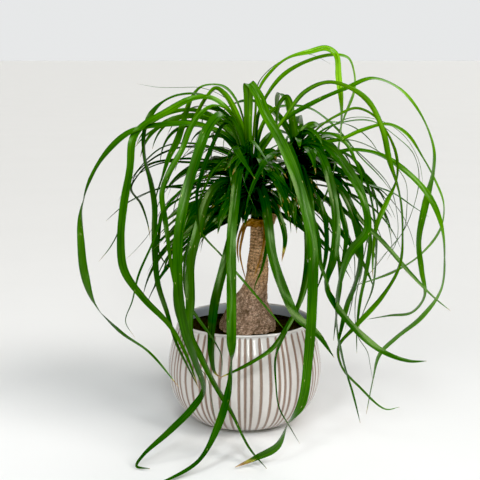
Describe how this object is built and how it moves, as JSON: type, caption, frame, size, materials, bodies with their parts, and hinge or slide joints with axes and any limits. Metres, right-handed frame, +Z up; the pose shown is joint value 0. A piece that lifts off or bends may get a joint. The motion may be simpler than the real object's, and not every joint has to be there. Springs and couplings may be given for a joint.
{
  "type": "potted ponytail palm",
  "caption": "Ponytail palm with a swollen forked trunk and long arching strap leaves, in a round ribbed glazed pot of soil.",
  "frame": {"origin": "centre of the pot's foot, on the surface it stands on", "axes": "+Z up along the pot's axis, -Y towards the front that the picture shows, +X to the right"},
  "size_m": [0.5677, 0.5159, 0.5943],
  "materials": {
    "glaze": "gloss",
    "soil": "matte",
    "bark": "matte",
    "leaf": "satin",
    "dry_leaf": "matte"
  },
  "bodies": {
    "root": {"pot": "glaze", "soil": "soil", "trunk": "bark", "left_head": "leaf", "right_head": "leaf", "dead_leaves": "dry_leaf"}
  },
  "joints": []
}
